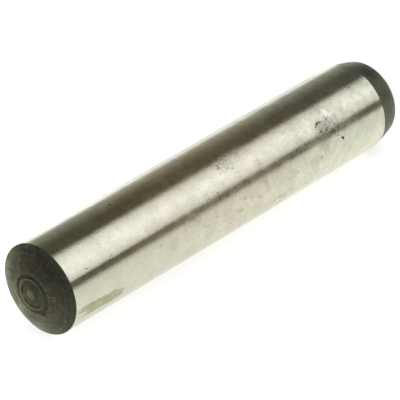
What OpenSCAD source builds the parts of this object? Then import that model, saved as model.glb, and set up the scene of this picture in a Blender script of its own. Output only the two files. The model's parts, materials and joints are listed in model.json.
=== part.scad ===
// Dowel pin: a hardened and ground parallel pin with a crowned end and a tapered leading end.
// Sizes are in millimetres. The pin lies along X and its tapered end points to +X.
// The origin is on the axis, at the middle of the ground shank.

/* [Pin] */
// Diameter of the ground shank
pin_d = 10; // [8:0.1:14]
// Length between the rims of the two end crowns
pin_l = 50; // [20:0.5:120]

/* [Crowned end] */
// Radius of the spherical crown
crown_r = 10.4; // [9:0.1:40]
// Radius of the edge break between the crown and the shank
crown_edge_r = 0.15; // [0.05:0.01:1]

/* [Tapered end] */
// Length of the leading taper
taper_l = 2.9; // [1:0.1:6]
// Angle between the taper and the axis, in degrees
taper_angle = 15; // [5:1:20]
// Radius of the spherical crown on the nose
nose_crown_r = 11.5; // [9:0.1:40]
// Radius of the rounding between the taper and the nose crown
nose_edge_r = 1.3; // [0.2:0.05:1.5]

/* [Turning marks] */
// Radius of the small pip at the centre of the crowned end
pip_r = 0.5; // [0.2:0.05:0.8]
// Height of the pip
pip_h = 0.08; // [0.02:0.01:0.15]
// Radius at which a raised ring runs round the pip
ring_r = 1.7; // [1.3:0.05:2.4]
// Width of the raised ring
ring_w = 0.3; // [0.1:0.01:0.4]
// Height of the raised ring
ring_h = 0.05; // [0.02:0.01:0.08]
// Width of the groove close outside the raised ring
groove_w = 0.5; // [0.2:0.01:0.7]
// Depth of the groove
groove_depth = 0.1; // [0.03:0.01:0.15]

/* [Hidden] */
$fn = 128;

pin_r = pin_d / 2;
shank_l = pin_l - crown_edge_r - taper_l;
nose_rim_r = pin_r - taper_l * tan(taper_angle);

// The groove cuts into the foot of the ring, with no land between the two
ring_foot = ring_w / 4;
groove_r = ring_r + ring_w / 2 - ring_foot + groove_w / 2;

// A rounding stands this far proud of tangency, so that it crosses the faces beside it
edge_bleed = 0.0001;

black_finish = [0.24, 0.24, 0.20];
ground_steel = [0.80, 0.80, 0.73];

// Height of a spherical cap on a rim
function cap_h(sphere_r, rim_r) = sphere_r - sqrt(sphere_r ^ 2 - rim_r ^ 2);

// How far a spherical cap has fallen away from its top at a distance from the axis
function dome_y(top_y, sphere_r, at_r) = top_y - cap_h(sphere_r, at_r);

// Radius of the arc that rises h above a chord of width w
function arc_r(w, h) = ((w / 2) ^ 2 + h ^ 2) / (2 * h);

// Half of an end's section, as radius and height: a side that leans in by an angle, and a
// spherical cap on its rim, with a rounding between them. It stands on the pin's section at 0.
module end_section(side_l, side_angle, rim_r, sphere_r, edge_r) {
  top_y = side_l + cap_h(sphere_r, rim_r);
  sphere_c = [0, top_y - sphere_r];
  side_way = [-sin(side_angle), cos(side_angle)];
  side_out = [cos(side_angle), sin(side_angle)];
  // The rounding's centre is edge_r inside the side and edge_r inside the sphere
  foot = [pin_r, 0] - edge_r * side_out - sphere_c;
  along = foot * side_way;
  climb = sqrt(along ^ 2 - foot * foot + (sphere_r - edge_r) ^ 2) - along;
  edge_c = sphere_c + foot + climb * side_way;
  cap_out = (edge_c - sphere_c) / (sphere_r - edge_r);
  reach = 2 * edge_r;
  difference() {
    intersection() {
      polygon([[0, 0], [pin_r, 0], [rim_r, side_l], [rim_r, top_y], [0, top_y]]);
      translate(sphere_c) circle(sphere_r);
    }
    difference() {
      polygon([
        edge_c,
        edge_c + reach * side_out,
        edge_c + reach * (side_out + cap_out),
        edge_c + reach * cap_out
      ]);
      translate(edge_c) circle(edge_r + edge_bleed);
    }
  }
}

// Crowned end, with the marks that turning leaves round its centre
module crowned_end() {
  top_y = crown_edge_r + cap_h(crown_r, pin_r);
  ring_arc_r = arc_r(ring_w, ring_h);
  groove_arc_r = arc_r(groove_w, groove_depth);
  pip_arc_r = arc_r(2 * pip_r, pip_h + cap_h(crown_r, pip_r));
  color(black_finish)
    translate([-shank_l / 2, 0, 0])
      rotate([0, 90, 0])
        rotate_extrude()
          mirror([0, 1])
            difference() {
              union() {
                end_section(crown_edge_r, 0, pin_r, crown_r, crown_edge_r);
                translate([ring_r, dome_y(top_y, crown_r, ring_r) + ring_h - ring_arc_r])
                  circle(ring_arc_r);
                intersection() {
                  translate([0, top_y + pip_h - pip_arc_r]) circle(pip_arc_r);
                  translate([0, top_y - pip_r]) square(2 * pip_r);
                }
              }
              translate([groove_r, dome_y(top_y, crown_r, groove_r) - groove_depth + groove_arc_r])
                circle(groove_arc_r);
            }
}

// Ground shank, the length that fits the hole
module ground_shank() {
  color(ground_steel)
    rotate([0, 90, 0])
      cylinder(h = shank_l, r = pin_r, center = true);
}

// Tapered end, which leads the pin into its hole
module tapered_end() {
  color(black_finish)
    translate([shank_l / 2, 0, 0])
      rotate([0, 90, 0])
        rotate_extrude()
          end_section(taper_l, taper_angle, nose_rim_r, nose_crown_r, nose_edge_r);
}

// The whole pin is turned from one bar
module dowel_pin() {
  crowned_end();
  ground_shank();
  tapered_end();
}

dowel_pin();
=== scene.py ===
import json
import math

import bmesh
import bpy
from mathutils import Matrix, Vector


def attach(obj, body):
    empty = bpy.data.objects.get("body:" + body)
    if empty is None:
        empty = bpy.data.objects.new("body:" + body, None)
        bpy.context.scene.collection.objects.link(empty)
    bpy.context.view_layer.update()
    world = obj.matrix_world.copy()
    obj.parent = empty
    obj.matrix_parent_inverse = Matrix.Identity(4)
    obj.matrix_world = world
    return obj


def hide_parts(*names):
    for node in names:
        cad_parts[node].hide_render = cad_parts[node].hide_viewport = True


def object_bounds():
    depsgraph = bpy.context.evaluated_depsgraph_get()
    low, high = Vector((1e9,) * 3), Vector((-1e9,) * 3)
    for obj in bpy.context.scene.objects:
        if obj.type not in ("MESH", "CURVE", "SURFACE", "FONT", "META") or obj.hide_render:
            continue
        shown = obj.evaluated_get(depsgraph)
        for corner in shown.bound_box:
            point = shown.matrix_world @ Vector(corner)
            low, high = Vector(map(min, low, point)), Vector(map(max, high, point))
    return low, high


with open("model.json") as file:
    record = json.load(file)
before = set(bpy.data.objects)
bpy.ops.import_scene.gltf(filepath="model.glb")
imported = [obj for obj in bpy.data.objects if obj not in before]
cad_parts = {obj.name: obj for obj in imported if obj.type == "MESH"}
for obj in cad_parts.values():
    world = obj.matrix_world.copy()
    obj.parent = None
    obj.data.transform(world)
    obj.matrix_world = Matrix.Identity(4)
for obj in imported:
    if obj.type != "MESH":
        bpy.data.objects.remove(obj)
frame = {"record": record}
cadLow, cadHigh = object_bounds()
scene = bpy.context.scene
mm = 0.001
print("frame loaded, the solid is", [round((b - a) / mm, 2) for a, b in zip(cadLow, cadHigh)], "mm")

# ---- the turned and ground blank ----

pinRadius = frame["record"]["mounts"][0]["dims"]["r_mm"] * mm
crownedTip = cadLow.x
noseTip = cadHigh.x

blank = {
    "turns": 192,                # segments round the axis
    "crownRadius": 10.4 * mm,
    "crownEdge": 0.15 * mm,      # break between the dome and the shank
    "skinReach": 0.06 * mm,      # how far the dark skin runs on past it
    "taperLength": 2.9 * mm,
    "taperAngle": math.radians(15),
    "noseRadius": 11.5 * mm,
    "noseEdge": 1.3 * mm,        # rounding between the taper and the nose
    "pipRadius": 0.5 * mm,
    "pipHeight": 0.08 * mm,
    "ringRadius": 1.7 * mm,
    "ringWidth": 0.3 * mm,
    "ringHeight": 0.016 * mm,
    "grooveWidth": 0.5 * mm,
    "grooveDepth": 0.035 * mm,
    "fineStep": 0.022 * mm,      # spacing of the rings of points across the domes
    "shankStep": 1 * mm,
    "sharpTurn": math.radians(13),   # an edge that turns this far is shaded sharp
}

# ridges that the tool point leaves on the end faces
toolMarks = {
    "pitch": 0.17 * mm,
    "secondPitch": 0.113 * mm,
    "swell": 1.3 * mm,           # the marks come and go over this distance
    "height": 0.0022 * mm,
    "fade": 0.25 * mm,           # they die out this far from the pip, the groove and the rim
}


def capHeight(sphereRadius, rimRadius):
    return sphereRadius - math.sqrt(sphereRadius ** 2 - rimRadius ** 2)


def lineTo(bm, last, end, steps=1):
    step = (end - last.co) / steps
    for _ in range(steps):
        last = bmesh.ops.extrude_vert_indiv(bm, verts=[last])["verts"][0]
        last.co += step
    return last


# sweeps the last vertex round a centre in the XZ plane, as far as end
def arcTo(bm, last, end, centre, steps):
    a, b = last.co - centre, end - centre
    turn = math.atan2(b.x, b.z) - math.atan2(a.x, a.z)
    turn = (turn + math.pi) % (2 * math.pi) - math.pi
    swept = bmesh.ops.spin(bm, geom=[last], cent=centre, axis=(0, 1, 0), angle=turn, steps=steps)
    return swept["geom_last"][0]


# an arc to end that stands rise proud of the straight way there, or sinks below it
def bulgeTo(bm, last, end, rise, steps):
    half = (end - last.co) / 2
    radius = (half.length_squared + rise ** 2) / (2 * rise)
    outward = Vector((-half.z, 0, half.x)).normalized()
    return arcTo(bm, last, end, last.co + half + outward * (rise - radius), steps)


def stepsOver(distance, step):
    return max(2, round(distance / step))


# height of the tool marks at a distance from the axis, between two plain radii
def toolMark(radius, inner, outer):
    t = toolMarks
    cycle = 2 * math.pi * radius
    wave = math.sin(cycle / t["pitch"]) + 0.6 * math.sin(cycle / t["secondPitch"])
    swell = 0.65 + 0.35 * math.sin(cycle / t["swell"])
    ends = min((radius - inner) / t["fade"], (outer - radius) / t["fade"], 1)
    return t["height"] * wave * swell * max(ends, 0)


def scoreFace(bm, already, centre, inner, outer):
    for vert in set(bm.verts) - already:
        outward = (vert.co - centre).normalized()
        vert.co += outward * toolMark(vert.co.z, inner, outer)


def buildProfile(bm):
    b = blank
    domeTop = crownedTip + b["pipHeight"]
    domeCentre = Vector((domeTop + b["crownRadius"], 0, 0))

    def onDome(radius):
        return Vector((domeTop + capHeight(b["crownRadius"], radius), 0, radius))

    # pip, raised ring and groove
    last = bm.verts.new((crownedTip, 0, 0))
    pipRise = b["pipHeight"] + capHeight(b["crownRadius"], b["pipRadius"])
    pipArc = (b["pipRadius"] ** 2 + pipRise ** 2) / (2 * pipRise)
    last = arcTo(bm, last, onDome(b["pipRadius"]), Vector((crownedTip + pipArc, 0, 0)), 8)
    ringInner = b["ringRadius"] - b["ringWidth"] / 2
    ringOuter = b["ringRadius"] + b["ringWidth"] / 4
    grooveOuter = ringOuter + b["grooveWidth"]
    already = set(bm.verts)
    steps = stepsOver(ringInner - b["pipRadius"], b["fineStep"])
    last = arcTo(bm, last, onDome(ringInner), domeCentre, steps)
    scoreFace(bm, already, domeCentre, b["pipRadius"], ringInner)
    last = bulgeTo(bm, last, onDome(ringOuter), b["ringHeight"], 8)
    last = bulgeTo(bm, last, onDome(grooveOuter), -b["grooveDepth"], 12)

    # dome and edge break
    e = b["crownEdge"]
    reach = math.sqrt((b["crownRadius"] - e) ** 2 - (pinRadius - e) ** 2)
    edgeCentre = Vector((domeCentre.x - reach, 0, pinRadius - e))
    domeEnd = edgeCentre + (edgeCentre - domeCentre).normalized() * e
    already = set(bm.verts)
    last = arcTo(bm, last, domeEnd, domeCentre, stepsOver(domeEnd.z - grooveOuter, b["fineStep"]))
    scoreFace(bm, already, domeCentre, grooveOuter, domeEnd.z)
    last = arcTo(bm, last, edgeCentre + Vector((0, 0, e)), edgeCentre, 5)
    last = lineTo(bm, last, last.co + Vector((b["skinReach"], 0, 0)))
    skinEnd = last.co.x

    # shank and taper
    noseRim = pinRadius - b["taperLength"] * math.tan(b["taperAngle"])
    shankEnd = noseTip - capHeight(b["noseRadius"], noseRim) - b["taperLength"]
    last = lineTo(bm, last, Vector((shankEnd, 0, pinRadius)), stepsOver(shankEnd - last.co.x, b["shankStep"]))
    noseCentre = Vector((noseTip - b["noseRadius"], 0, 0))
    e = b["noseEdge"]
    along = Vector((math.cos(b["taperAngle"]), 0, -math.sin(b["taperAngle"])))
    outward = Vector((math.sin(b["taperAngle"]), 0, math.cos(b["taperAngle"])))
    foot = last.co - outward * e - noseCentre
    slide = foot.dot(along)
    climb = math.sqrt(slide ** 2 - foot.length_squared + (b["noseRadius"] - e) ** 2) - slide
    edgeCentre = noseCentre + foot + along * climb
    last = lineTo(bm, last, edgeCentre + outward * e, 6)
    domeStart = edgeCentre + (edgeCentre - noseCentre).normalized() * e
    last = arcTo(bm, last, domeStart, edgeCentre, 14)

    # nose
    already = set(bm.verts)
    last = arcTo(bm, last, Vector((noseTip, 0, 0)), noseCentre, stepsOver(domeStart.z, 2 * b["fineStep"]))
    scoreFace(bm, already, noseCentre, 0, domeStart.z)
    return skinEnd, shankEnd


# the spin makes the faces in another order each time, so they are ranked by their three lowest points
def sortFaces(bm):
    bm.verts.index_update()
    count = len(bm.verts)

    def rank(face):
        first, second, third = sorted(vert.index for vert in face.verts)[:3]
        return (first * count + second) * count + third

    bm.faces.sort(key=rank)


def buildPin():
    bm = bmesh.new()
    skinEnd, shankEnd = buildProfile(bm)
    bmesh.ops.spin(bm, geom=bm.verts[:] + bm.edges[:], cent=(0, 0, 0), axis=(1, 0, 0),
                   angle=2 * math.pi, steps=blank["turns"], use_merge=True)
    bmesh.ops.remove_doubles(bm, verts=bm.verts[:], dist=1e-7)
    bmesh.ops.recalc_face_normals(bm, faces=bm.faces[:])
    for face in bm.faces:
        face.smooth = True
        x = face.calc_center_median().x
        face.material_index = 0 if skinEnd < x < shankEnd else 1
    for edge in bm.edges:
        edge.smooth = edge.calc_face_angle(0) < blank["sharpTurn"]
    sortFaces(bm)
    mesh = bpy.data.meshes.new("turnedPin")
    bm.to_mesh(mesh)
    bm.free()
    pin = bpy.data.objects.new("turnedPin", mesh)
    scene.collection.objects.link(pin)
    return pin


pin = buildPin()
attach(pin, "root")
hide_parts("dowel_pin")
print("blank turned,", len(pin.data.polygons), "faces")

# ---- node helpers ----


def feed(tree, socket, value):
    if isinstance(value, bpy.types.NodeSocket):
        tree.links.new(value, socket)
    else:
        socket.default_value = value


def calc(tree, operation, *values):
    node = tree.nodes.new("ShaderNodeMath")
    node.operation = operation
    for socket, value in zip(node.inputs, values):
        feed(tree, socket, value)
    return node.outputs[0]


def remap(tree, value, low, high, toLow=0.0, toHigh=1.0):
    node = tree.nodes.new("ShaderNodeMapRange")
    node.interpolation_type = "SMOOTHSTEP"
    names = ("Value", "From Min", "From Max", "To Min", "To Max")
    for name, each in zip(names, (value, low, high, toLow, toHigh)):
        feed(tree, node.inputs[name], each)
    return node.outputs["Result"]


def noise(tree, vector, size, detail=2, warp=0.0, crisp=0.5, output="Fac"):
    node = tree.nodes.new("ShaderNodeTexNoise")
    feed(tree, node.inputs["Vector"], vector)
    node.inputs["Scale"].default_value = 1 / size
    node.inputs["Detail"].default_value = detail
    node.inputs["Roughness"].default_value = crisp
    node.inputs["Distortion"].default_value = warp
    return node.outputs[output]


def vec(tree, operation, a, b=None):
    node = tree.nodes.new("ShaderNodeVectorMath")
    node.operation = operation
    feed(tree, node.inputs[0], a)
    if b is not None:
        feed(tree, node.inputs["Scale" if operation == "SCALE" else 1], b)
    return node.outputs["Value" if operation in ("LENGTH", "DOT_PRODUCT") else "Vector"]


def split(tree, vector):
    node = tree.nodes.new("ShaderNodeSeparateXYZ")
    feed(tree, node.inputs[0], vector)
    return node.outputs


def join(tree, *values):
    node = tree.nodes.new("ShaderNodeCombineXYZ")
    for socket, value in zip(node.inputs, values):
        feed(tree, socket, value)
    return node.outputs[0]


def stretch(tree, vector, scale, shift=(0, 0, 0)):
    node = tree.nodes.new("ShaderNodeMapping")
    feed(tree, node.inputs["Vector"], vector)
    node.inputs["Scale"].default_value = scale
    node.inputs["Location"].default_value = shift
    return node.outputs["Vector"]


def mix(tree, factor, a, b, mode="MIX"):
    node = tree.nodes.new("ShaderNodeMix")
    node.data_type = "RGBA"
    node.blend_type = mode
    feed(tree, node.inputs[0], factor)
    feed(tree, node.inputs[6], a)
    feed(tree, node.inputs[7], b)
    return node.outputs[2]


# a number that goes from a to b as factor goes from 0 to 1
def blend(tree, factor, a, b):
    node = tree.nodes.new("ShaderNodeMix")
    for socket, value in zip((node.inputs[0], node.inputs[2], node.inputs[3]), (factor, a, b)):
        feed(tree, socket, value)
    return node.outputs[0]


def bump(tree, height, distance, strength=1.0, normal=None):
    node = tree.nodes.new("ShaderNodeBump")
    node.inputs["Distance"].default_value = distance
    feed(tree, node.inputs["Strength"], strength)
    feed(tree, node.inputs["Height"], height)
    if normal:
        feed(tree, node.inputs["Normal"], normal)
    return node.outputs["Normal"]


def newMaterial(name):
    material = bpy.data.materials.new(name)
    material.use_nodes = True
    return material, material.node_tree, material.node_tree.nodes["Principled BSDF"]


def newGroup(name, inputs, outputs):
    group = bpy.data.node_groups.new(name, "ShaderNodeTree")
    for label, kind, start in inputs:
        socket = group.interface.new_socket(label, in_out="INPUT", socket_type=kind)
        socket.default_value = start
    for label, kind in outputs:
        group.interface.new_socket(label, in_out="OUTPUT", socket_type=kind)
    return group, group.nodes.new("NodeGroupInput").outputs, group.nodes.new("NodeGroupOutput").inputs


def useGroup(tree, group, **values):
    node = tree.nodes.new("ShaderNodeGroup")
    node.node_tree = group
    for name, value in values.items():
        feed(tree, node.inputs[name], value)
    return node.outputs


number, vector3 = "NodeSocketFloat", "NodeSocketVector"


# where a point lies on the pin, in millimetres; Around is measured over the top towards the -Y side
def makePlaceGroup():
    group, _, out = newGroup("pinPlace", [], [("Place", vector3), ("Along", number), ("Around", number),
                                              ("Radius", number)])
    place = group.nodes.new("ShaderNodeTexCoord").outputs["Object"]
    place = stretch(group, place, (1 / mm, 1 / mm, 1 / mm))
    x, y, z = split(group, place)
    angle = calc(group, "ARCTAN2", calc(group, "MULTIPLY", y, -1), z)
    feed(group, out["Place"], place)
    feed(group, out["Along"], x)
    feed(group, out["Around"], calc(group, "MULTIPLY", angle, pinRadius / mm))
    feed(group, out["Radius"], vec(group, "LENGTH", vec(group, "MULTIPLY", place, (0, 1, 1))))
    return group


# soft blotches: noise cut off between two levels
def makeBlotchGroup():
    group, given, out = newGroup("blotches", [("Place", vector3, (0, 0, 0)), ("Size", number, 1),
                                              ("From", number, 0.5), ("To", number, 0.7)], [("Mask", number)])
    spots = noise(group, given["Place"], 1, 3)
    feed(group, spots.node.inputs["Scale"], calc(group, "DIVIDE", 1, given["Size"]))
    feed(group, out["Mask"], remap(group, spots, given["From"], given["To"]))
    return group


# one mark of a given length, width and lean on a flat map of the surface
def makeMarkGroup():
    group, given, out = newGroup("markSpot", [
        ("Flat", vector3, (0, 0, 0)), ("Centre", vector3, (0, 0, 0)), ("Size", vector3, (1, 1, 1)),
        ("Lean", number, 0), ("Softness", number, 0.4),
    ], [("Mask", number)])
    offset = vec(group, "SUBTRACT", given["Flat"], given["Centre"])
    turned = group.nodes.new("ShaderNodeVectorRotate")
    turned.rotation_type = "Z_AXIS"
    feed(group, turned.inputs["Vector"], offset)
    feed(group, turned.inputs["Angle"], given["Lean"])
    scaled = vec(group, "DIVIDE", turned.outputs[0], given["Size"])
    square = vec(group, "MULTIPLY", scaled, scaled)
    fourth = vec(group, "DOT_PRODUCT", vec(group, "MULTIPLY", square, (1, 1, 0)), square)
    away = calc(group, "POWER", fourth, 0.25)
    soft = given["Softness"]
    mask = remap(group, away, calc(group, "SUBTRACT", 1, soft), calc(group, "ADD", 1, soft), 1.0, 0.0)
    feed(group, out["Mask"], mask)
    return group


# fine lines that follow one another at an uneven pitch
def makeLineGroup():
    group, given, out = newGroup("fineLines", [("Distance", number, 0), ("Pitch", number, 0.2)],
                                 [("Height", number)])
    node = group.nodes.new("ShaderNodeTexNoise")
    node.noise_dimensions = "1D"
    feed(group, node.inputs["W"], calc(group, "DIVIDE", given["Distance"], given["Pitch"]))
    node.inputs["Scale"].default_value = 1
    node.inputs["Detail"].default_value = 2
    feed(group, out["Height"], node.outputs["Fac"])
    return group


pinPlace, blotches = makePlaceGroup(), makeBlotchGroup()
markSpot, fineLines = makeMarkGroup(), makeLineGroup()


# a flat map with its edges shaken by noise, so that what is drawn on it turns out ragged
def raggedMap(tree, where, across, up, ragged, size=0.28):
    shake = vec(tree, "SUBTRACT", noise(tree, where, size, 2, output="Color"), (0.5, 0.5, 0.5))
    return vec(tree, "ADD", join(tree, across, up, 0.0), vec(tree, "SCALE", shake, ragged))


# marks one after another: across, up, length, width in mm, lean in degrees, depth
def addMarks(tree, flat, marks, softness=0.4):
    total = 0.0
    for across, up, length, width, lean, depth in marks:
        spot = useGroup(tree, markSpot, Flat=flat, Centre=(across, up, 0), Size=(length / 2, width / 2, 1),
                        Lean=math.radians(-lean), Softness=softness)
        total = calc(tree, "MAXIMUM", total, calc(tree, "MULTIPLY", spot["Mask"], depth))
    return total


# the same for the shank, with degrees round from the top towards -Y in place of up
def shankMarks(tree, flat, marks, softness=0.4):
    turned = [(at, math.radians(turn) * pinRadius / mm, *rest) for at, turn, *rest in marks]
    return addMarks(tree, flat, turned, softness)


# ---- ground steel of the shank ----

groundFinish = {
    "colour": (0.80, 0.795, 0.668, 1),
    "pinkTint": (0.815, 0.777, 0.655, 1),
    "greenTint": (0.785, 0.80, 0.68, 1),
    "filmColour": (0.84, 0.775, 0.63, 1),
    "roughness": 0.05,
    "filmRoughness": 0.1,        # what the film of oil adds
    "unevenness": 1.0,           # how much the grinding haze changes the colour
    "tintChange": 0.12,
    "waviness": 0.009 * mm,
    "grindHeight": 0.0008 * mm,
    "pitDepth": 0.02 * mm,
    "scratches": 0.11,           # depth of the faint scratches all over
    "darkMark": (0.045, 0.044, 0.024, 1),
    "brownMark": (0.20, 0.155, 0.095, 1),
    "ochreMark": (0.40, 0.33, 0.19, 1),
    "brightMark": (1.0, 1.0, 0.90, 1),
    "stainColour": (0.54, 0.515, 0.335, 1),
    "stainEdge": (0.36, 0.33, 0.17, 1),
}

# at mm, turn degrees, length mm, width mm, lean degrees, depth
darkMarks = [
    (14.12, 43.1, 0.62, 0.3, -18, 0.95), (14.5, 43.7, 0.36, 0.26, 0, 0.85),
    (13.8, 45.3, 0.55, 0.2, -38, 0.75),
    (15.5, 44.4, 0.46, 0.34, -15, 0.6), (15.8, 43.1, 0.36, 0.16, -20, 0.5), (14.2, 49.2, 0.16, 0.35, 0, 0.3),
    (14.55, 48.3, 0.3, 0.14, 20, 0.3), (14.8, 46.6, 0.3, 0.14, -30, 0.22), (15.05, 49.6, 0.2, 0.4, 0, 0.5),
    (14.95, 46.8, 0.2, 0.2, 0, 0.25), (15.7, 51.0, 0.32, 0.32, 0, 0.52), (16.15, 52.2, 0.22, 0.42, 15, 0.48),
    (15.5, 34.5, 0.14, 0.4, 0, 0.26), (16.35, 35.2, 0.12, 0.5, 0, 0.2), (16.1, 28.4, 0.3, 0.2, 0, 0.25),
    (16.5, 43.5, 0.16, 0.3, 0, 0.2), (16.1, 68.0, 0.34, 0.2, 45, 0.42), (16.45, 69.5, 0.16, 0.14, 0, 0.25),
    (16.78, 75.0, 0.34, 0.36, 20, 1.0), (16.6, 73.4, 0.26, 0.16, 30, 0.8),
    (0.0, 28.0, 0.18, 0.75, 0, 0.6), (-0.2, 29.3, 0.5, 0.22, 10, 0.5), (-0.1, 24.5, 0.3, 0.3, 0, 0.35),
    (0.5, 31.6, 0.45, 0.12, 25, 0.28), (0.8, 34.5, 0.55, 0.16, 25, 0.5), (1.02, 32.6, 0.16, 0.3, 0, 0.28),
    (0.65, 33.2, 0.18, 0.14, 0, 0.35), (1.33, 38.2, 0.24, 0.18, -35, 0.5),
    (-0.42, 36.9, 0.24, 0.13, -25, 0.35),
    (0.95, 25.2, 0.25, 0.2, 0, 0.32), (1.35, 31.0, 0.3, 0.2, -20, 0.28), (3.05, 23.5, 0.7, 0.3, -20, 0.25),
    (2.0, 32.4, 0.25, 0.15, 0, 0.22), (1.65, 26.2, 0.7, 0.35, 0, 0.15), (-0.75, 48.2, 0.26, 0.26, 0, 0.25),
    (1.67, 51.3, 0.3, 0.2, 0, 0.28), (1.1, 48.8, 0.35, 0.2, 0, 0.22), (4.7, 45.8, 0.3, 0.3, 0, 0.26),
    (4.65, 49.8, 0.5, 0.3, 20, 0.26), (-3.8, 38.6, 0.3, 0.2, 0, 0.2), (-3.4, 49.4, 0.6, 0.3, -30, 0.18),
    (-1.94, 55.0, 0.4, 0.2, 0, 0.3), (-3.4, 55.8, 0.4, 0.15, 0, 0.25), (-13.4, -2.0, 0.55, 0.32, -20, 0.6),
    (-21.0, 53.2, 0.38, 0.13, 25, 0.45), (-21.5, 51.8, 0.4, 0.1, 25, 0.2), (-17.5, 54.6, 0.24, 0.2, 0, 0.3),
    (-21.5, 46.2, 0.3, 0.1, 20, 0.2), (-18.2, 39.8, 0.2, 0.15, 0, 0.22), (-17.3, 21.8, 0.35, 0.2, 0, 0.2),
    (-19.9, 21.8, 0.3, 0.2, 0, 0.2), (-18.3, 24.0, 0.3, 0.16, 0, 0.16), (20.8, 23.0, 0.4, 0.2, 0, 0.3),
    (20.5, 48.5, 0.4, 0.18, 20, 0.25), (-11.24, 75.1, 0.26, 0.22, 20, 0.38),
    (-7.55, 75.6, 0.22, 0.7, 0, 0.13),
    (-7.65, 70.6, 0.2, 0.4, 0, 0.13), (-6.6, 91.5, 0.45, 0.22, 15, 0.22), (-5.8, 91.3, 0.4, 0.2, -10, 0.2),
    (-2.94, 80.2, 0.3, 0.24, 0, 0.26), (-1.55, 91.0, 1.0, 0.22, 0, 0.17), (-1.05, 100.3, 0.8, 0.2, 20, 0.2),
    (0.67, 75.5, 0.24, 0.2, 0, 0.2), (1.5, 85.0, 0.2, 0.15, 0, 0.2), (3.0, 84.5, 0.3, 0.2, 25, 0.2),
    (7.2, 88.0, 0.8, 0.3, 60, 0.14), (8.1, 86.3, 0.5, 0.3, 25, 0.18), (9.5, 85.0, 0.5, 0.24, 25, 0.24),
    # the long entries at 60.8 degrees here and on the next line are painted shade along the mirrored thin
    # dark line
    (8.55, 106.0, 0.6, 0.25, 30, 0.22), (-22.4, 60.8, 3.2, 0.45, 0, 0.15), (-5.0, 60.8, 1.5, 0.45, 0, 0.2),
    (8.6, 60.8, 4.0, 0.45, 0, 0.17),
    (18.3, 69.8, 1.0, 0.3, -10, 0.14), (21.05, 84.8, 0.3, 0.15, 0, 0.2), (16.2, 91.4, 0.3, 0.15, 0, 0.2),
    (-2.6, 102.9, 0.3, 0.3, 0, 0.22), (-4.05, 99.0, 0.3, 0.2, 0, 0.2), (-22.9, 88.0, 0.18, 0.15, 0, 0.25),
]
brownMarks = [
    (14.12, 53.7, 0.36, 0.44, 25, 0.8), (14.85, 55.2, 0.44, 0.3, -20, 0.85), (14.4, 50.5, 1.9, 1.0, 0, 0.24),
    (-6.1, 67.0, 0.9, 0.5, 25, 0.22), (-5.6, 70.5, 0.9, 0.9, 40, 0.16), (-7.5, 65.0, 0.3, 0.5, 0, 0.16),
    # the long entry at 60.5 degrees paints a warmer tint on the mirrored thin dark line
    (-10.5, 2.0, 6.0, 1.6, 0, 0.14), (4.75, 77.0, 0.6, 1.7, 0, 0.16), (-3.2, 60.5, 4.4, 0.5, 0, 0.2),
    (1.3, 77.6, 0.5, 0.3, 25, 0.26), (2.3, 81.3, 0.5, 0.26, 40, 0.24), (3.6, 86.8, 0.6, 0.28, 10, 0.24),
    (-4.6, 84.0, 1.1, 0.3, 20, 0.16), (0.4, 89.5, 1.4, 0.35, 10, 0.14), (0.6, 26.5, 1.6, 0.5, -20, 0.1),
]
ochreMarks = [
    (13.9, 72.5, 1.5, 0.9, 10, 0.3), (13.25, 83.8, 0.42, 0.24, 30, 0.7), (4.6, 72.0, 0.6, 0.5, 0, 0.25),
    (7.2, 108.0, 1.6, 0.6, 15, 0.4), (6.1, 108.6, 0.7, 0.3, 30, 0.4), (3.2, 99.0, 1.2, 0.9, 0, 0.16),
    (-9.3, 84.0, 1.4, 1.2, 0, 0.12), (0.6, 91.0, 0.5, 0.4, 0, 0.25), (11.5, 56.0, 2.5, 0.3, 0, 0.2),
    # this entry at 60.6 degrees paints a warmer tint on the mirrored thin dark line at the tapered end
    (21.9, 60.6, 3.8, 0.55, 0, 0.45),
]
brightMarks = [
    (15.9, 37.0, 0.55, 0.85, -20, 1.0), (15.85, 32.5, 0.35, 0.5, 0, 0.8), (16.2, 41.0, 0.5, 0.35, 0, 0.9),
    (16.4, 50.3, 0.26, 0.3, 0, 0.9), (14.85, 51.6, 0.26, 0.3, 0, 0.7), (15.25, 36.5, 0.3, 0.3, 0, 0.5),
    (18.8, 39.5, 0.8, 0.5, -30, 0.7), (18.55, 44.5, 0.5, 0.3, -20, 0.6), (20.8, 42.4, 1.0, 0.25, 0, 0.5),
    (11.4, 43.7, 0.5, 0.3, 0, 0.6), (13.0, 36.7, 0.5, 0.5, 0, 0.6), (12.9, 31.0, 0.3, 0.5, 0, 0.5),
    (-2.6, 38.0, 1.1, 0.8, 0, 0.45), (-0.6, 39.5, 1.5, 0.7, 0, 0.4), (4.1, 39.0, 0.6, 0.5, 0, 0.35),
    (5.2, 43.0, 0.4, 0.5, 0, 0.25), (-6.5, 36.5, 0.8, 0.4, 0, 0.3), (-8.5, 38.0, 0.7, 0.4, 0, 0.25),
    (9.3, 36.5, 1.0, 0.3, 0, 0.4), (10.2, 41.5, 0.6, 0.3, 0, 0.4), (1.9, 50.0, 0.4, 0.3, 0, 0.4),
    (9.55, 80.6, 0.3, 0.2, 0, 0.6), (13.2, 94.6, 0.3, 0.7, 0, 0.5), (-11.7, 78.7, 0.3, 0.2, 0, 0.5),
    (-2.5, 85.5, 0.3, 0.3, 0, 0.5), (18.0, 86.5, 0.2, 0.2, 0, 0.5), (-16.0, 39.0, 1.2, 0.4, 0, 0.3),
    # the long entries at 60.8 degrees here and on the next line are painted highlight, breaking up the
    # mirrored thin dark line
    (-7.6, 60.8, 2.8, 0.45, 0, 0.6), (-11.8, 60.8, 4.6, 0.45, 0, 0.4), (14.4, 60.8, 1.4, 0.5, 0, 0.8),
    (17.4, 60.8, 1.8, 0.45, 0, 0.6),
]
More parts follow.
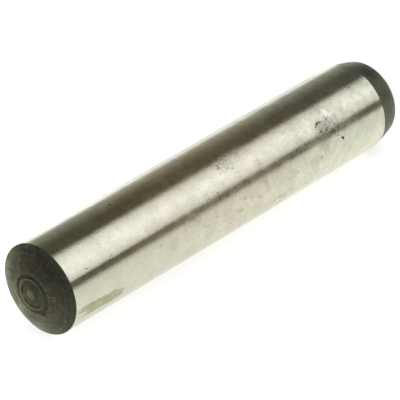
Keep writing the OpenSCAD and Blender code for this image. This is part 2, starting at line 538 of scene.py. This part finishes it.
greenMarks = [
    (-1.6, 72, 1.8, 0.9, 0, 1.0), (-3.8, 82.5, 1.2, 0.8, 0, 0.8), (3.05, 72, 1.4, 0.9, 0, 0.9),
    (8.2, 76, 2.0, 1.2, 0, 0.9), (21.6, 26, 3.0, 1.0, 0, 1.0),
]

# places with a scribble of fine scratches
scribbles = [
    (15.2, 47.5, 3.0, 1.5, 0, 1.0), (1.6, 27.5, 4.8, 1.7, -8, 0.5), (4.6, 48.0, 1.6, 0.9, 0, 0.4),
    (2.7, 81.5, 3.4, 1.1, 25, 0.35), (-6.3, 67.0, 2.4, 1.5, 0, 0.32),
]
stainMarks = [(-19.95, 103.4, 6.2, 1.5, 3, 1.0), (-18.0, 104.5, 2.6, 1.15, 8, 1.0)]
stainGaps = [
    (-22.8, 104.0, 2.0, 0.46, 9, 1.0), (-16.5, 97.0, 2.2, 0.8, 18, 1.0), (-16.4, 112.5, 1.4, 0.7, -25, 1.0),
]


def groundSteel():
    finish = groundFinish
    material, tree, surface = newMaterial("groundSteel")
    place = useGroup(tree, pinPlace)
    where, along, around = place["Place"], place["Along"], place["Around"]
    sharpMap = raggedMap(tree, where, along, around, 0.22)
    raggedAll = raggedMap(tree, where, along, around, 0.7, 0.5)

    # haze left by the grinding, plain at the crowned end and busy from the middle on, and far stronger along
    # the mirrored thin dark line, which paints that reflection patchy and broken
    busy = remap(tree, calc(tree, "MULTIPLY_ADD", noise(tree, where, 3), 6, along), -13, -2, 0.65, 1.08)
    busy = calc(tree, "MULTIPLY", busy, remap(tree, along, 12, 19, 1, 1.25))
    calm = remap(tree, along, -14, 0, 0.55, 0.9)
    calm = calc(tree, "MULTIPLY", calm, remap(tree, along, 13, 18, 1.15, 0.55))
    patchy = blend(tree, remap(tree, around, 5.4, 6.2), 1.0, calm)
    inDark = remap(tree, around, 2.1, 1.6)
    patchy = blend(tree, inDark, patchy, remap(tree, along, 10, 17, 1.55, 0.8))
    nearLine = remap(tree, calc(tree, "ABSOLUTE", calc(tree, "SUBTRACT", around, 5.28)), 0.5, 0.3)
    onLine = remap(tree, along, -14, -6, 1.9, 3.0)
    onLine = calc(tree, "MULTIPLY", onLine, remap(tree, along, 16.5, 19.5, 1, 0.35))
    patchy = blend(tree, nearLine, patchy, onLine)
    busy = calc(tree, "MULTIPLY", busy, patchy)
    haze = noise(tree, where, 2.0, 4, 0, 0.85)
    shade = calc(tree, "SUBTRACT", haze, 0.5)
    shade = calc(tree, "MULTIPLY", shade, calc(tree, "MULTIPLY", busy, finish["unevenness"]))
    specks = useGroup(tree, blotches, Place=where, Size=0.2, From=0.62, To=0.74)["Mask"]
    elsewhere = stretch(tree, where, (1, 1, 1), (3, 5, 1))
    glints = useGroup(tree, blotches, Place=elsewhere, Size=0.5, From=0.6, To=0.74)["Mask"]
    shade = calc(tree, "MULTIPLY_ADD", calc(tree, "MULTIPLY", glints, busy), 0.05, shade)
    shade = calc(tree, "MULTIPLY_ADD", calc(tree, "MULTIPLY", specks, busy), -0.07, shade)
    change = vec(tree, "SUBTRACT", noise(tree, where, 1.7, 4, 0, 0.6, output="Color"), (0.5, 0.5, 0.5))
    mottled = remap(tree, along, -14, -6, 0.3, 1)
    mottled = calc(tree, "MULTIPLY", blend(tree, inDark, mottled, 1.7), finish["tintChange"])
    change = vec(tree, "SCALE", change, mottled)
    change = vec(tree, "ADD", vec(tree, "ADD", change, (1, 1, 1)), join(tree, shade, shade, shade))

    clouds = noise(tree, where, 2.6, 2, 0.4)
    tint = mix(tree, remap(tree, clouds, 0.35, 0.55, 0.5, 0), finish["colour"], finish["pinkTint"])
    green = remap(tree, clouds, 0.52, 0.66, 0, 0.5)
    green = calc(tree, "MAXIMUM", green, shankMarks(tree, raggedAll, greenMarks))
    green = calc(tree, "MAXIMUM", green, remap(tree, along, 8, 20, 0, 0.6))
    tint = mix(tree, green, tint, finish["greenTint"])
    colour = vec(tree, "MULTIPLY", tint, change)

    # a thin film of oil, thickest over the middle
    reach = remap(tree, calc(tree, "ABSOLUTE", along), 4, 17, 1, 0)
    film = calc(tree, "MAXIMUM", reach, remap(tree, along, 0, 12, 0, 0.6))
    film = calc(tree, "MULTIPLY", film, remap(tree, noise(tree, where, 4), 0.3, 0.6, 0.7, 1))
    colour = mix(tree, calc(tree, "MULTIPLY", reach, 0.4), colour, finish["filmColour"])

    # the stain at the crowned end is darker along its rim
    stain = shankMarks(tree, raggedAll, stainMarks, 0.22)
    stain = calc(tree, "MULTIPLY", stain, calc(tree, "SUBTRACT", 1, shankMarks(tree, raggedAll, stainGaps)))
    blotched = remap(tree, noise(tree, where, 0.7, 4), 0.32, 0.6, 0, 1)
    rim = calc(tree, "MULTIPLY", remap(tree, stain, 1.0, 0.45), 0.6)
    rim = calc(tree, "MAXIMUM", rim, calc(tree, "MULTIPLY", blotched, 0.65))
    stainColour = mix(tree, rim, finish["stainColour"], finish["stainEdge"])
    colour = mix(tree, calc(tree, "MULTIPLY", stain, 0.85), colour, stainColour)

    # pits, scratches and bright scuffs, and painted shade, painted highlight and a painted warmer tint along
    # the mirrored thin dark line
    squiggle = calc(tree, "SUBTRACT", noise(tree, where, 0.34, 2, 1.2), 0.5)
    squiggle = remap(tree, calc(tree, "ABSOLUTE", squiggle), 0.0, 0.05, 0.36, 0)
    scribbled = calc(tree, "MAXIMUM", shankMarks(tree, raggedAll, scribbles, 0.6), finish["scratches"])
    sooty = remap(tree, noise(tree, where, 0.28, 3, 0, 0.7), 0.45, 0.64, 0, 0.5)
    squiggle = calc(tree, "MULTIPLY", calc(tree, "MAXIMUM", squiggle, sooty), scribbled)
    dark = shankMarks(tree, sharpMap, darkMarks, 0.5)
    broken = remap(tree, noise(tree, where, 0.17, 2, 0, 0.7), 0.35, 0.6, 0.35, 1)
    broken = calc(tree, "MULTIPLY_ADD", calc(tree, "SUBTRACT", 1, broken), dark, broken)
    dark = calc(tree, "MAXIMUM", calc(tree, "MULTIPLY", dark, broken), squiggle)
    brown = shankMarks(tree, sharpMap, brownMarks, 0.5)
    ochre = shankMarks(tree, raggedAll, ochreMarks, 0.6)
    bright = shankMarks(tree, sharpMap, brightMarks, 0.6)
    marks = ((ochre, "ochreMark"), (bright, "brightMark"), (brown, "brownMark"), (dark, "darkMark"))
    for amount, name in marks:
        colour = mix(tree, amount, colour, finish[name])
    feed(tree, surface.inputs["Base Color"], colour)
    feed(tree, surface.inputs["Metallic"], calc(tree, "MULTIPLY_ADD", dark, -0.2, 1))

    rough = calc(tree, "MULTIPLY_ADD", film, finish["filmRoughness"], finish["roughness"])
    rough = calc(tree, "MULTIPLY_ADD", remap(tree, haze, 0.42, 0.6), 0.02, rough)
    rough = calc(tree, "MULTIPLY_ADD", calc(tree, "MAXIMUM", dark, brown), 0.2, rough)
    rough = calc(tree, "MULTIPLY_ADD", stain, 0.12, rough)
    feed(tree, surface.inputs["Roughness"], rough)

    waves = noise(tree, stretch(tree, where, (1, 1, 1), (3, 1, 2)), 0.6, 2, 0.3)
    lines = noise(tree, stretch(tree, where, (1, 0.08, 0.08)), 0.07, 1)
    normal = bump(tree, waves, finish["waviness"], remap(tree, along, -9, 2, 0.25, 0.6))
    normal = bump(tree, lines, finish["grindHeight"], 1, normal)
    normal = bump(tree, calc(tree, "MULTIPLY", dark, -1), finish["pitDepth"], 1, normal)
    feed(tree, surface.inputs["Normal"], normal)
    return material


# ---- hardened skin of both ends ----

skinFinish = {
    "colour": (0.020, 0.0215, 0.0125, 1),
    "warmColour": (0.030, 0.028, 0.017, 1),
    "paleColour": (0.052, 0.054, 0.034, 1),
    "wornAndHighlightColour": (0.150, 0.148, 0.113, 1),
    "coolColour": (0.0235, 0.0225, 0.0195, 1),
    "blueColour": (0.034, 0.035, 0.041, 1),
    "rustColour": (0.130, 0.078, 0.064, 1),
    "dirtAndShadeColour": (0.008, 0.008, 0.005, 1),
    "discColour": (0.010, 0.010, 0.0085, 1),
    "specularTint": (1, 1, 0.70, 1),
    "specular": 0.5,
    "roughness": 0.33,
    "linePitch": 0.3,
    "specksAndSideLight": 0.6,                # light and dark specks
    "tintChange": 0.9,
    "lineHeight": 0.006 * mm,
    "grainHeight": 0.008 * mm,
}

# across (towards -Y), up, length, width, lean, depth: scuffs on the crowned face
faceMarks = [
    (2.85, 0.76, 0.5, 0.09, 15, 0.6), (2.92, 0.48, 0.4, 0.08, 12, 0.45), (2.35, 0.62, 0.26, 0.22, 0, 0.35),
    (0.95, 3.0, 0.5, 0.2, -30, 0.2), (-4.1, 1.4, 0.3, 0.5, 0, 0.5), (1.2, 0.06, 0.12, 0.1, 0, 0.3),
    (-2.6, 1.75, 0.8, 0.1, 50, 0.25), (1.4, -3.9, 0.35, 0.3, 0, 0.4), (0.5, -3.4, 0.7, 0.12, 25, 0.35),
    (2.1, 4.25, 0.3, 0.14, -20, 0.25), (3.4, 3.2, 0.25, 0.12, -45, 0.3), (1.7, -3.0, 0.5, 0.12, 30, 0.3),
    (-1.5, -0.8, 0.5, 0.25, -40, 0.25), (0.35, 1.45, 0.8, 0.25, 0, 0.1), (1.35, 1.85, 0.4, 0.15, -30, 0.25),
    (1.97, 1.35, 0.3, 0.3, 0, 0.18), (0.29, 0.09, 0.2, 0.2, 0, 0.9), (-0.2, -0.15, 0.4, 0.2, 20, 0.8),
]
# across, up, length, width, lean, depth: dark patches on the crowned face, many of them along the groove
faceDarkPatches = [
    (-1.35, 1.4, 1.2, 0.35, 45, 0.8), (-0.4, 1.95, 0.4, 0.3, 0, 0.5), (0.82, 1.78, 0.3, 0.25, 0, 0.6),
    (1.2, 1.5, 0.4, 0.3, -40, 0.5), (1.38, 1.2, 0.3, 0.3, 0, 0.5), (1.9, 0.85, 0.3, 0.5, 0, 0.6),
    (2.05, -0.15, 0.3, 0.6, 0, 0.85), (1.95, -0.75, 0.45, 0.5, 0, 0.9), (1.5, -1.7, 1.0, 0.42, 50, 0.95),
    (0.16, -2.2, 0.5, 0.3, 0, 0.7), (-1.35, -0.3, 0.3, 0.7, 0, 0.8), (0.05, -1.4, 0.8, 0.28, 0, 0.85),
    (-0.8, -1.15, 0.7, 0.3, -45, 0.85), (0.9, -1.1, 0.6, 0.3, 45, 0.7),
    (-1.15, 0.35, 0.25, 0.5, 0, 0.5), (1.32, 0.09, 0.14, 0.14, 0, 0.9),
    (0.13, -0.16, 0.14, 0.14, 0, 0.6), (-1.65, 3.6, 0.3, 0.2, 0, 0.5), (-2.2, 2.6, 0.9, 0.2, 40, 0.5),
    (-2.0, -1.1, 0.4, 0.3, 0, 0.4), (-2.7, 1.6, 2.2, 1.2, 60, 0.4),
    (-1.2, 3.0, 1.8, 1.0, 20, 0.45), (-0.6, -2.9, 2.6, 1.0, -12, 0.35),
]
faceBlue = [(1.22, 0.3, 0.42, 1.2, 0, 0.8)]
faceRust = [
    (-4.35, 0.6, 0.7, 1.1, 0, 1.0), (-3.3, 3.1, 0.5, 0.3, 30, 0.45), (-0.2, 3.8, 1.2, 0.7, 0, 0.15),
    (-3.3, -2.1, 1.0, 0.6, -40, 0.4), (2.6, -3.6, 1.2, 0.5, 35, 0.3),
]


def hardenedSkin():
    finish = skinFinish
    material, tree, surface = newMaterial("hardenedSkin")
    surface.inputs["Specular IOR Level"].default_value = finish["specular"]
    surface.inputs["Specular Tint"].default_value = finish["specularTint"]
    surface.inputs["Metallic"].default_value = 0
    place = useGroup(tree, pinPlace)
    where, along, radius = place["Place"], place["Along"], place["Radius"]
    crowned = remap(tree, along, 0, -1)
    x, y, z = split(tree, where)
    faceMap = raggedMap(tree, where, calc(tree, "MULTIPLY", y, -1), z, 0.1, 0.3)
    # from -1 at the upper side of the rim to 1 at the lower one, and the same for the slant across it
    reach = calc(tree, "MAXIMUM", radius, 2)
    low = calc(tree, "DIVIDE", vec(tree, "DOT_PRODUCT", where, (0, 0.71, -0.71)), reach)
    slant = calc(tree, "DIVIDE", vec(tree, "DOT_PRODUCT", where, (0, 0.71, 0.71)), reach)
    # the specks show far more on the lower side of the crowned face, and the pale ones lighten it there:
    # painted light on its lower side, over real specks
    amount = blend(tree, crowned, 0.5, remap(tree, low, -1, 0.1, 0.35, 1.9))

    clouds = noise(tree, where, 1.6, 4, 0.5, 0.65)
    colour = mix(tree, remap(tree, clouds, 0.35, 0.6), finish["warmColour"], finish["colour"])
    # painted light: a cooler tint on the upper side of the crowned face
    cool = calc(tree, "MULTIPLY", remap(tree, low, 0.4, -0.9), crowned)
    colour = mix(tree, cool, colour, finish["coolColour"])
    pale = useGroup(tree, blotches, Place=where, Size=0.8, From=0.48, To=0.72)["Mask"]
    colour = mix(tree, calc(tree, "MULTIPLY", pale, 0.5), colour, finish["paleColour"])
    specksAndSideLight = calc(tree, "MULTIPLY", remap(tree, noise(tree, where, 0.5, 4, 0, 0.8), 0.5, 0.68), amount)
    colour = mix(tree, calc(tree, "MULTIPLY", specksAndSideLight, finish["specksAndSideLight"]), colour, finish["wornAndHighlightColour"])
    hollows = calc(tree, "MULTIPLY", remap(tree, noise(tree, where, 0.6, 4, 0, 0.8), 0.5, 0.34), amount)
    colour = mix(tree, calc(tree, "MULTIPLY", hollows, finish["specksAndSideLight"]), colour, finish["dirtAndShadeColour"])

    b = blank
    inside = remap(tree, radius, b["ringRadius"] / mm, b["ringRadius"] / mm - 0.22, 0, 0.85)
    inside = calc(tree, "MULTIPLY", inside, crowned)
    colour = mix(tree, inside, colour, finish["discColour"])

    # turned lines, stronger in some places than in others
    distance = calc(tree, "SUBTRACT", radius, calc(tree, "ABSOLUTE", along))
    lines = useGroup(tree, fineLines, Distance=distance, Pitch=finish["linePitch"])["Height"]
    strength = remap(tree, noise(tree, where, 1.8), 0.35, 0.6, 0.3, 1)
    sides = remap(tree, calc(tree, "ABSOLUTE", slant), 0.2, 0.8, 0.45, 1.2)
    strength = calc(tree, "MULTIPLY", strength, sides)
    strength = calc(tree, "MAXIMUM", strength, calc(tree, "MULTIPLY", inside, 0.75))
    worn = calc(tree, "MULTIPLY", remap(tree, lines, 0.5, 0.72), calc(tree, "MULTIPLY", strength, 0.75))
    colour = mix(tree, worn, colour, finish["paleColour"])
    hollow = calc(tree, "MULTIPLY", remap(tree, lines, 0.5, 0.32), calc(tree, "MULTIPLY", strength, 0.7))
    colour = mix(tree, hollow, colour, finish["dirtAndShadeColour"])

    # bare metal shows on the pip and the ring, and dirt lies in the groove. Painted shade darkens the upper
    # side of the face round the groove, and painted highlight pales the ring and the rim on their lower side
    shaded = calc(tree, "MULTIPLY", remap(tree, radius, 3.7, 2.3, 0, 0.45), remap(tree, low, 0.3, -0.2))
    shaded = calc(tree, "MULTIPLY", shaded, remap(tree, low, -1, -0.6, 0.3, 1))
    colour = mix(tree, calc(tree, "MULTIPLY", shaded, crowned), colour, finish["dirtAndShadeColour"])
    # the groove is darker at its sides than at its top and bottom: dirt, with painted shade for a groove
    # deeper than the one built
    grooveRadius = (b["ringRadius"] + b["ringWidth"] / 4 + b["grooveWidth"] * 0.4) / mm
    groove = calc(tree, "ABSOLUTE", calc(tree, "SUBTRACT", radius, grooveRadius))
    groove = calc(tree, "MULTIPLY", remap(tree, groove, 0.1, 0.30, 1, 0), crowned)
    groove = calc(tree, "MULTIPLY", groove, remap(tree, calc(tree, "ABSOLUTE", slant), 0.1, 0.7, 0.5, 1.0))
    groove = calc(tree, "MULTIPLY", groove, remap(tree, low, 0.75, 1, 1, 0.5))
    groove = calc(tree, "MULTIPLY", groove, remap(tree, low, -0.4, 0.3, 0.6, 1))
    groove = calc(tree, "MULTIPLY", groove, remap(tree, noise(tree, where, 0.8), 0.3, 0.6, 0.7, 1))
    darkPatches = calc(tree, "MULTIPLY", addMarks(tree, faceMap, faceDarkPatches, 0.6), crowned)
    shadeAndGrime = calc(tree, "MAXIMUM", groove, darkPatches)
    colour = mix(tree, shadeAndGrime, colour, finish["dirtAndShadeColour"])
    # painted highlight: the raised ring is paler on its lower side, over real wear
    fromRing = vec(tree, "LENGTH", vec(tree, "MULTIPLY", vec(tree, "ADD", where, (0, 0.08, 0.05)), (0, 1, 1)))
    ring = calc(tree, "ABSOLUTE", calc(tree, "SUBTRACT", fromRing, b["ringRadius"] / mm))
    ring = calc(tree, "MULTIPLY", remap(tree, ring, 0.02, 0.15, 1, 0), remap(tree, low, -0.6, 0.7, 0.45, 0.9))
    ring = calc(tree, "MULTIPLY", ring, remap(tree, slant, -0.7, -0.1, 0.4, 1))
    pip = remap(tree, radius, b["pipRadius"] / mm * 0.7, b["pipRadius"] / mm * 1.3, 1, 0)
    wearAndHighlight = calc(tree, "MAXIMUM", calc(tree, "MULTIPLY", ring, 0.6), pip)
    # painted highlight: the rim is pale on its lower side and only faintly elsewhere
    rim = calc(tree, "MULTIPLY", remap(tree, radius, 4.0, 4.8), remap(tree, low, 0.1, 0.9, 0.06, 0.7))
    wearAndHighlight = calc(tree, "MAXIMUM", wearAndHighlight, rim)
    wearAndHighlight = calc(tree, "MULTIPLY", wearAndHighlight, remap(tree, noise(tree, where, 0.45, 3), 0.3, 0.62, 0.35, 1))
    wearAndHighlight = calc(tree, "MAXIMUM", wearAndHighlight, addMarks(tree, faceMap, faceMarks, 0.5))
    blue = calc(tree, "MULTIPLY", addMarks(tree, faceMap, faceBlue, 0.4), crowned)
    colour = mix(tree, blue, colour, finish["blueColour"])
    colour = mix(tree, calc(tree, "MULTIPLY", wearAndHighlight, crowned), colour, finish["wornAndHighlightColour"])
    edgeWear = calc(tree, "MULTIPLY", remap(tree, along, 24.8, 25.9, 0, 0.3), remap(tree, pale, 0, 1, 0.6, 1))
    colour = mix(tree, edgeWear, colour, finish["wornAndHighlightColour"])
    elsewhere = stretch(tree, where, (1, 1, 1), (5, 3, 7))
    rust = useGroup(tree, blotches, Place=elsewhere, Size=0.9, From=0.56, To=0.74)["Mask"]
    rusty = calc(tree, "MULTIPLY", addMarks(tree, faceMap, faceRust, 0.6), crowned)
    rusty = calc(tree, "MAXIMUM", rusty, calc(tree, "MULTIPLY", rust, 0.35))
    colour = mix(tree, rusty, colour, finish["rustColour"])
    flecks = useGroup(tree, blotches, Place=where, Size=0.13, From=0.68, To=0.78)["Mask"]
    colour = mix(tree, calc(tree, "MULTIPLY", flecks, 0.6), colour, finish["wornAndHighlightColour"])
    change = vec(tree, "SUBTRACT", noise(tree, where, 1.3, 4, 0, 0.65, output="Color"), (0.5, 0.5, 0.5))
    mottled = remap(tree, low, -0.5, 0.5, 0.6, 1.8)
    mottled = calc(tree, "MULTIPLY", mottled, remap(tree, radius, 1.2, 2.4, 0.25, 1))
    mottled = calc(tree, "MULTIPLY", mottled, remap(tree, slant, -0.9, 0.3, 0.55, 1))
    change = vec(tree, "SCALE", change, calc(tree, "MULTIPLY", mottled, finish["tintChange"]))
    cloudy = calc(tree, "SUBTRACT", clouds, 0.5)
    cloudy = calc(tree, "MULTIPLY", cloudy, remap(tree, low, -0.2, 0.7, 0.3, 2.6))
    cloudy = calc(tree, "MULTIPLY", cloudy, crowned)
    change = vec(tree, "ADD", change, join(tree, cloudy, cloudy, cloudy))
    change = vec(tree, "ADD", change, (1, 1, 1))
    feed(tree, surface.inputs["Base Color"], vec(tree, "MULTIPLY", colour, change))

    level = finish["roughness"]
    rough = remap(tree, noise(tree, where, 0.6, 3), 0.3, 0.7, level - 0.05, level + 0.08)
    rough = calc(tree, "MULTIPLY_ADD", inside, 0.2, rough)
    rough = calc(tree, "MULTIPLY_ADD", shadeAndGrime, 0.35, rough)
    rough = calc(tree, "MULTIPLY_ADD", cloudy, -0.25, rough)
    feed(tree, surface.inputs["Roughness"], rough)
    normal = bump(tree, lines, finish["lineHeight"], strength)
    rugged = blend(tree, crowned, 1, remap(tree, low, -0.5, 0.6, 0.8, 1.6))
    normal = bump(tree, noise(tree, where, 0.25, 3), finish["grainHeight"], rugged, normal)
    feed(tree, surface.inputs["Normal"], normal)
    return material


pin.data.materials.append(groundSteel())
pin.data.materials.append(hardenedSkin())
print("finishes made,", len(bpy.data.node_groups), "node groups")

# ---- table, studio and camera ----

studio = {
    "floorSize": 3,
    "floorColour": (0.55, 0.55, 0.55, 1),
    "floorLift": 0.7,            # white that the floor adds for the camera, so that its shadow stays soft
    "floorMirror": (0.83, 0.83, 0.77, 1),
    "floorBehind": (0.825, 0.84, 0.85, 1),
    "floorByTaper": (1.14, 1.14, 0.98, 1),
    "floorByCrown": (1.12, 1.12, 0.84, 1),
    "mirrorFade": -0.07,         # how the floor dims in reflections with the distance from the pin
    "fillLevel": 0.9,
    "tentRadius": 0.45,
    "tentStart": -0.7,
    "tentEnd": 1.5,
    "tentFacets": 48,
    "frontLevel": 0.2,           # light at the wall behind the camera, against the rest of the tent
}

# Light of the tent round the pin: a dark card low on the camera's side, a bright sheet overhead, and a
# dark wall with a paler foot behind. Each has three levels, for what the crowned end, the middle and the
# tapered end mirror. Angles are degrees up from the horizon on the camera's side and on over the top.
tent = {
    "horizon": (0.54, 0.58, 0.54),
    "card": (0.12, 0.23, 0.195),
    "cardTop": (0.06, 0.205, 0.17),
    "sheet": (1.07, 1.08, 0.95),
    "brightest": (58, 55, 55),       # angle at which the sheet has its full level
    "sag": (0.36, 0.36, 0.32),       # how much darker it is 30 degrees to either side
    "sheetFull": (25, 26, 28),       # angle from which nothing but the sheet is mirrored
    "sheetGone": (102, 102, 100),    # angle from which nothing of it is
    "wall": (0.07, 0.125, 0.082),
    "foot": (0.25, 0.30, 0.28),
    "rear": (0.70, 0.71, 0.73),
}

# angles at which one part of the tent gives way to the next
tentEdges = {
    "card": (1, 10),
    "cardTop": (15, 18),
    "sheetRise": 19.5,
    "sheetFall": 86,
    "foot": (122, 160),
    "rear": (160, 180),
}

# the darker the light, the warmer: powers for red, green and blue at the same three places
tentTints = [(1, 1.0, 1.12), (1, 1.11, 1.325), (1, 1.01, 1.08)]


def glow(tree, colour, strength):
    node = tree.nodes.new("ShaderNodeEmission")
    feed(tree, node.inputs["Color"], colour)
    feed(tree, node.inputs["Strength"], strength)
    return node.outputs[0]


# 1 for the rays that see a thing directly or mirrored, 0 for the light that it gives
def seenRays(tree, camera=True):
    rays = tree.nodes.new("ShaderNodeLightPath").outputs
    seen = calc(tree, "MAXIMUM", rays["Is Glossy Ray"], rays["Is Transmission Ray"])
    return calc(tree, "MAXIMUM", seen, rays["Is Camera Ray"]) if camera else seen


def emptyMaterial(name):
    material = bpy.data.materials.new(name)
    material.use_nodes = True
    tree = material.node_tree
    tree.nodes.clear()
    return material, tree, tree.nodes.new("ShaderNodeOutputMaterial").inputs["Surface"]


def stageObject(name, bm, material):
    mesh = bpy.data.meshes.new(name)
    bm.to_mesh(mesh)
    bm.free()
    mesh.materials.append(material)
    thing = bpy.data.objects.new(name, mesh)
    scene.collection.objects.link(thing)
    return thing


# blends three values, or colours, along the tent
def alongTent(tree, x, near, middle, far, start=0.30, end=0.335):
    first = mix(tree, remap(tree, x, start, end), near, middle)
    return mix(tree, remap(tree, x, 0.352, 0.385), first, far)


# how far an angle has come on its way from start to end
def share(angle, start, end):
    return min(max((angle - start) / (end - start), 0), 1)


def eased(angle, start, end):
    t = share(angle, start, end)
    return t * t * (3 - 2 * t)


def between(a, b, t):
    return a + (b - a) * t


# light at an angle, for the crowned end, the middle or the tapered end: place 0, 1 or 2
def tentLevel(angle, place):
    t = {name: levels[place] for name, levels in tent.items()}
    e = tentEdges
    front = between(t["horizon"], t["card"], eased(angle, *e["card"]))
    front = between(front, t["cardTop"], eased(angle, *e["cardTop"]))
    sheet = t["sheet"] - t["sag"] * ((angle - t["brightest"]) / 30) ** 2
    rear = between(t["wall"], t["foot"], share(angle, *e["foot"]) ** 1.5)
    rear = between(rear, t["rear"], share(angle, *e["rear"]) ** 2)
    level = between(front, sheet, eased(angle, e["sheetRise"], t["sheetFull"]))
    return between(level, rear, eased(angle, e["sheetFall"], t["sheetGone"]))


def tentLight():
    material, tree, surface = emptyMaterial("tentLight")
    x, y, z = split(tree, tree.nodes.new("ShaderNodeTexCoord").outputs["Object"])
    angle = calc(tree, "ARCTAN2", z, calc(tree, "MULTIPLY", y, -1))
    ramp = tree.nodes.new("ShaderNodeValToRGB")
    feed(tree, ramp.inputs["Fac"], calc(tree, "DIVIDE", angle, math.pi))
    stops = ramp.color_ramp.elements
    # the ramp takes 32 stops, closest together where the light changes fast
    for degrees in (*range(3, 30, 3), *range(30, 81, 10), *range(85, 102, 4), *range(120, 180, 6)):
        stops.new(degrees / 180)
    for stop in stops:
        stop.color = (*[tentLevel(stop.position * 180, place) for place in range(3)], 1)
    level = alongTent(tree, x, *split(tree, ramp.outputs["Color"]))
    tint = alongTent(tree, x, *[tint + (1,) for tint in tentTints], 0.298, 0.328)
    powers = split(tree, mix(tree, remap(tree, angle, 2.5, 2.9, 0, 0.8), tint, tentTints[0] + (1,)))
    colour = join(tree, *[calc(tree, "POWER", level, power) for power in powers])
    feed(tree, surface, glow(tree, colour, remap(tree, x, -0.5, -0.05, studio["frontLevel"], 1)))
    return material


def makeTent():
    bm = bmesh.new()
    corners = [(studio["tentStart"], 0, 0), (studio["tentStart"], -studio["tentRadius"], 0),
               (studio["tentEnd"], -studio["tentRadius"], 0)]
    verts = [bm.verts.new(corner) for corner in corners]
    edges = [bm.edges.new(pair) for pair in zip(verts, verts[1:])]
    bmesh.ops.spin(bm, geom=verts + edges, cent=(0, 0, 0), axis=(1, 0, 0), angle=-math.pi,
                   steps=studio["tentFacets"])
    bmesh.ops.remove_doubles(bm, verts=bm.verts[:], dist=1e-6)
    tent = stageObject("lightTent", bm, tentLight())
    tent.visible_camera = False
    tent.visible_diffuse = False
    tent.visible_shadow = False


def paleFloor():
    material, tree, surface = emptyMaterial("paleFloor")
    plain = tree.nodes.new("ShaderNodeBsdfDiffuse")
    feed(tree, plain.inputs["Color"], studio["floorColour"])
    camera = tree.nodes.new("ShaderNodeLightPath").outputs["Is Camera Ray"]
    both = tree.nodes.new("ShaderNodeAddShader")
    feed(tree, both.inputs[0], plain.outputs[0])
    feed(tree, both.inputs[1], glow(tree, (1, 1, 1, 1), calc(tree, "MULTIPLY", camera, studio["floorLift"])))

    # the floor as the pin mirrors it: brightest close by, and dark out on the camera's side
    x, y, _ = split(tree, tree.nodes.new("ShaderNodeTexCoord").outputs["Object"])
    away = calc(tree, "MAXIMUM", calc(tree, "DIVIDE", calc(tree, "MULTIPLY", y, -1), 10 * mm), 1)
    level = calc(tree, "POWER", away, studio["mirrorFade"])
    front = remap(tree, x, -0.06, -0.025, 0.15, 1)
    under = calc(tree, "MULTIPLY", remap(tree, x, 0.006, 0.015), remap(tree, y, -0.014, -0.006))
    level = calc(tree, "MULTIPLY", level, calc(tree, "MULTIPLY_ADD", under, 0.1, 1))
    level = calc(tree, "MULTIPLY", level, front)

    # whiter behind the pin, and warmer where only the dark ends mirror it
    beside = calc(tree, "MULTIPLY_ADD", calc(tree, "ABSOLUTE", y), -0.82, x)
    behind = calc(tree, "MULTIPLY", remap(tree, y, 0.002, 0.008), remap(tree, y, 0.1, 0.045))
    ends = remap(tree, beside, -0.024, -0.004, 1.4, 1)
    ends = calc(tree, "MULTIPLY", ends, remap(tree, beside, 0.0185, 0.0235, 0.98, 1.24))
    white = vec(tree, "SCALE", studio["floorBehind"][:3], ends)
    colour = mix(tree, behind, studio["floorMirror"], white)
    colour = mix(tree, remap(tree, beside, 0.027, 0.031), colour, studio["floorByTaper"])
    crownSide = calc(tree, "MULTIPLY", remap(tree, x, -0.017, -0.023), remap(tree, y, -0.004, 0.001))
    colour = mix(tree, crownSide, colour, studio["floorByCrown"])
    mirrored = glow(tree, colour, level)
    pick = tree.nodes.new("ShaderNodeMixShader")
    feed(tree, pick.inputs["Fac"], seenRays(tree, camera=False))
    feed(tree, pick.inputs[1], both.outputs[0])
    feed(tree, pick.inputs[2], mirrored)
    feed(tree, surface, pick.outputs[0])
    return material


def makeFloor():
    bm = bmesh.new()
    bmesh.ops.create_grid(bm, x_segments=1, y_segments=1, size=studio["floorSize"])
    bmesh.ops.translate(bm, verts=bm.verts[:], vec=(0, 0, -pinRadius))
    stageObject("floor", bm, paleFloor())


def makeWorld():
    world = bpy.data.worlds.new("studioWorld")
    scene.world = world
    world.use_nodes = True
    tree = world.node_tree
    background = tree.nodes["Background"]
    background.inputs["Color"].default_value = (1, 1, 1, 1)
    level = tree.nodes.new("ShaderNodeMapRange")
    feed(tree, level.inputs["Value"], seenRays(tree))
    level.inputs["To Min"].default_value = studio["fillLevel"]
    feed(tree, background.inputs["Strength"], level.outputs["Result"])


viewPoint = {
    "azimuth": -47.01,
    "elevation": 33.34,
    "distance": 349.6 * mm,
    "aim": Vector((0.095, 0.321, -0.901)) * mm,
    "lens": 302.5,
}


def makeCamera():
    a, e = math.radians(viewPoint["azimuth"]), math.radians(viewPoint["elevation"])
    back = Vector((math.sin(a) * math.cos(e), -math.cos(a) * math.cos(e), math.sin(e)))
    data = bpy.data.cameras.new("camera")
    data.lens = viewPoint["lens"]
    data.clip_start = 0.01
    data.clip_end = 20
    camera = bpy.data.objects.new("camera", data)
    camera.location = viewPoint["aim"] + back * viewPoint["distance"]
    camera.rotation_mode = "QUATERNION"
    camera.rotation_quaternion = (-back).to_track_quat("-Z", "Y")
    scene.collection.objects.link(camera)
    scene.camera = camera


makeTent()
makeFloor()
makeWorld()
makeCamera()
scene.view_settings.view_transform = "Standard"
print("studio and camera set")
